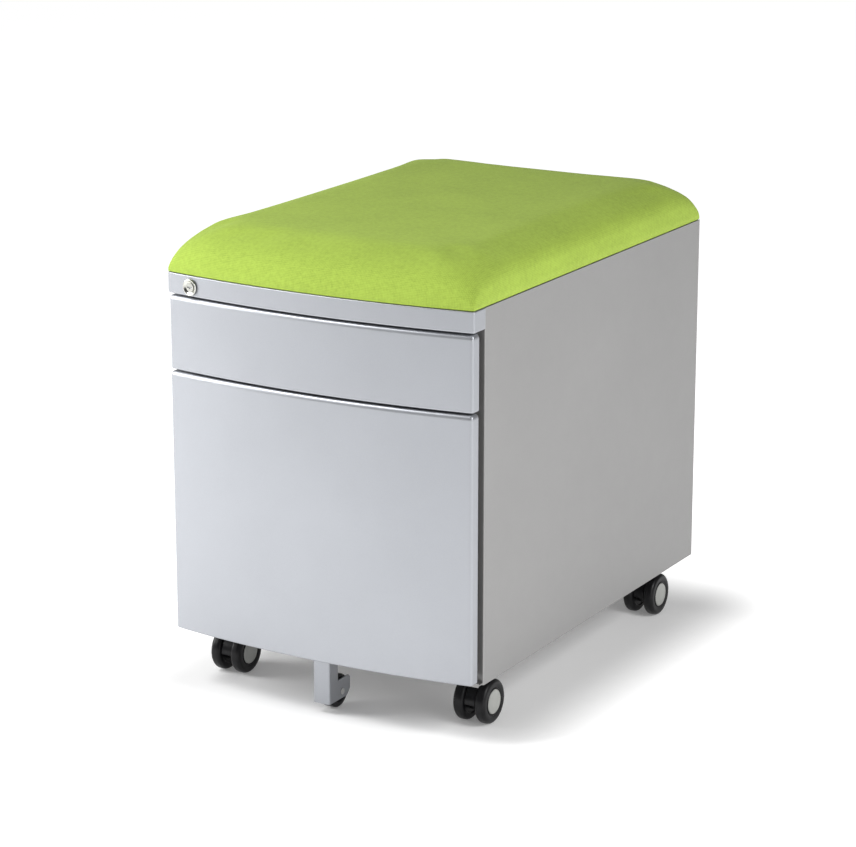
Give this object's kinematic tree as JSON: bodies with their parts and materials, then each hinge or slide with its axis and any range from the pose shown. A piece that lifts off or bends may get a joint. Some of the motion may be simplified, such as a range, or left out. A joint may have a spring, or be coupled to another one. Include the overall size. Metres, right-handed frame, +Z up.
{
  "type": "mobile pedestal file cabinet",
  "caption": "Low steel pedestal with a box drawer and a file drawer, bowed front, padded lime seat on top, lock, swivel casters and a wheel that stops it tipping.",
  "frame": {"origin": "on the floor, under the centre of the whole pedestal's box", "axes": "+Z up, -Y the front that the drawers open towards, +X to the right of a person facing the front"},
  "size_m": [0.381, 0.56, 0.527],
  "materials": {
    "case_paint": "satin silver powder coat",
    "front_paint": "satin silver powder coat",
    "tray_paint": "satin grey powder coat",
    "zinc_steel": "zinc plated",
    "lock_chrome": "polished",
    "board_wood": "raw plywood",
    "seat_fabric": "fine knitted upholstery fabric",
    "axle_steel": "turned steel",
    "wheel_black": "smooth moulded nylon",
    "housing_black": "moulded nylon",
    "cap_grey": "smooth moulded plastic"
  },
  "bodies": {
    "cabinet": {"left_side_panel": "case_paint", "right_side_panel": "case_paint", "back_panel": "case_paint", "top_panel": "case_paint", "base_pan": "case_paint", "front_rail": "front_paint", "slide_uprights": "zinc_steel", "caster_channels": "case_paint", "caster_stems": "zinc_steel", "seat_board": "board_wood", "seat_cushion": "seat_fabric", "seat_screws": "zinc_steel", "lock_barrel": "lock_chrome", "lock_nut": "zinc_steel", "lock_bar_guides": "zinc_steel", "box_slide_outer_pair": "zinc_steel", "file_slide_outer_pair": "zinc_steel"},
    "box_drawer": {"box_drawer_front": "front_paint", "box_drawer_liner": "case_paint", "box_drawer_tray": "tray_paint", "box_drawer_screws": "zinc_steel", "box_slide_inner_pair": "zinc_steel"},
    "file_drawer": {"file_drawer_front": "front_paint", "file_drawer_liner": "case_paint", "file_drawer_tray": "tray_paint", "file_drawer_screws": "zinc_steel", "file_slide_inner_pair": "zinc_steel", "hanging_rails": "tray_paint", "anti_tip_bracket": "front_paint", "anti_tip_axle": "axle_steel"},
    "box_slide_middle": {"box_slide_middle_pair": "zinc_steel"},
    "file_slide_middle": {"file_slide_middle_pair": "zinc_steel"},
    "lock_plug": {"lock_plug": "lock_chrome", "lock_cam": "zinc_steel"},
    "lock_bar": {"lock_bar": "zinc_steel"},
    "anti_tip_wheel": {"anti_tip_wheel": "wheel_black"},
    "caster_front_left": {"caster_front_left_housing": "housing_black", "caster_front_left_axle": "axle_steel"},
    "caster_front_left_left_wheel": {"caster_front_left_left_wheel": "wheel_black", "caster_front_left_left_cap": "cap_grey"},
    "caster_front_left_right_wheel": {"caster_front_left_right_wheel": "wheel_black", "caster_front_left_right_cap": "cap_grey"},
    "caster_front_right": {"caster_front_right_housing": "housing_black", "caster_front_right_axle": "axle_steel"},
    "caster_front_right_left_wheel": {"caster_front_right_left_wheel": "wheel_black", "caster_front_right_left_cap": "cap_grey"},
    "caster_front_right_right_wheel": {"caster_front_right_right_wheel": "wheel_black", "caster_front_right_right_cap": "cap_grey"},
    "caster_rear_left": {"caster_rear_left_housing": "housing_black", "caster_rear_left_axle": "axle_steel"},
    "caster_rear_left_left_wheel": {"caster_rear_left_left_wheel": "wheel_black", "caster_rear_left_left_cap": "cap_grey"},
    "caster_rear_left_right_wheel": {"caster_rear_left_right_wheel": "wheel_black", "caster_rear_left_right_cap": "cap_grey"},
    "caster_rear_right": {"caster_rear_right_housing": "housing_black", "caster_rear_right_axle": "axle_steel"},
    "caster_rear_right_left_wheel": {"caster_rear_right_left_wheel": "wheel_black", "caster_rear_right_left_cap": "cap_grey"},
    "caster_rear_right_right_wheel": {"caster_rear_right_right_wheel": "wheel_black", "caster_rear_right_right_cap": "cap_grey"}
  },
  "joints": [
    {"name": "box_drawer_slide", "type": "slide", "parent": "cabinet", "child": "box_drawer", "axis": [0, -1, 0], "range_m": [0, 0.38]},
    {"name": "box_slide_middle_travel", "type": "slide", "parent": "cabinet", "child": "box_slide_middle", "axis": [0, -1, 0], "range_m": [0, 0.19]},
    {"name": "file_drawer_slide", "type": "slide", "parent": "cabinet", "child": "file_drawer", "axis": [0, -1, 0], "range_m": [0, 0.43]},
    {"name": "file_slide_middle_travel", "type": "slide", "parent": "cabinet", "child": "file_slide_middle", "axis": [0, -1, 0], "range_m": [0, 0.215]},
    {"name": "lock_turn", "type": "hinge", "parent": "cabinet", "child": "lock_plug", "pos_m": [-0.157, -0.26916, 0.4625], "axis": [0.1375, 0.9905, 0], "range_deg": [0, 90]},
    {"name": "lock_bar_lift", "type": "slide", "parent": "cabinet", "child": "lock_bar", "axis": [0, 0, 1], "range_m": [0, 0.0099]},
    {"name": "anti_tip_wheel_spin", "type": "hinge", "parent": "file_drawer", "child": "anti_tip_wheel", "pos_m": [0, -0.236, 0.02], "axis": [1, 0, 0], "continuous": true},
    {"name": "caster_front_left_swivel", "type": "hinge", "parent": "cabinet", "child": "caster_front_left", "pos_m": [-0.158, -0.18, 0.05], "axis": [0, 0, 1], "continuous": true},
    {"name": "caster_front_left_left_spin", "type": "hinge", "parent": "caster_front_left", "child": "caster_front_left_left_wheel", "pos_m": [-0.158, -0.192, 0.025], "axis": [1, 0, 0], "continuous": true},
    {"name": "caster_front_left_right_spin", "type": "hinge", "parent": "caster_front_left", "child": "caster_front_left_right_wheel", "pos_m": [-0.158, -0.192, 0.025], "axis": [1, 0, 0], "continuous": true},
    {"name": "caster_front_right_swivel", "type": "hinge", "parent": "cabinet", "child": "caster_front_right", "pos_m": [0.158, -0.18, 0.05], "axis": [0, 0, 1], "continuous": true},
    {"name": "caster_front_right_left_spin", "type": "hinge", "parent": "caster_front_right", "child": "caster_front_right_left_wheel", "pos_m": [0.158, -0.192, 0.025], "axis": [1, 0, 0], "continuous": true},
    {"name": "caster_front_right_right_spin", "type": "hinge", "parent": "caster_front_right", "child": "caster_front_right_right_wheel", "pos_m": [0.158, -0.192, 0.025], "axis": [1, 0, 0], "continuous": true},
    {"name": "caster_rear_left_swivel", "type": "hinge", "parent": "cabinet", "child": "caster_rear_left", "pos_m": [-0.158, 0.234, 0.05], "axis": [0, 0, 1], "continuous": true},
    {"name": "caster_rear_left_left_spin", "type": "hinge", "parent": "caster_rear_left", "child": "caster_rear_left_left_wheel", "pos_m": [-0.158, 0.222, 0.025], "axis": [1, 0, 0], "continuous": true},
    {"name": "caster_rear_left_right_spin", "type": "hinge", "parent": "caster_rear_left", "child": "caster_rear_left_right_wheel", "pos_m": [-0.158, 0.222, 0.025], "axis": [1, 0, 0], "continuous": true},
    {"name": "caster_rear_right_swivel", "type": "hinge", "parent": "cabinet", "child": "caster_rear_right", "pos_m": [0.158, 0.234, 0.05], "axis": [0, 0, 1], "continuous": true},
    {"name": "caster_rear_right_left_spin", "type": "hinge", "parent": "caster_rear_right", "child": "caster_rear_right_left_wheel", "pos_m": [0.158, 0.222, 0.025], "axis": [1, 0, 0], "continuous": true},
    {"name": "caster_rear_right_right_spin", "type": "hinge", "parent": "caster_rear_right", "child": "caster_rear_right_right_wheel", "pos_m": [0.158, 0.222, 0.025], "axis": [1, 0, 0], "continuous": true}
  ],
  "couplings": [
    {"joint": "box_slide_middle_travel", "follows": "box_drawer_slide", "ratio": 0.5},
    {"joint": "file_slide_middle_travel", "follows": "file_drawer_slide", "ratio": 0.5},
    {"joint": "lock_turn", "follows": "lock_bar_lift", "rad_per_m": 158.67}
  ]
}
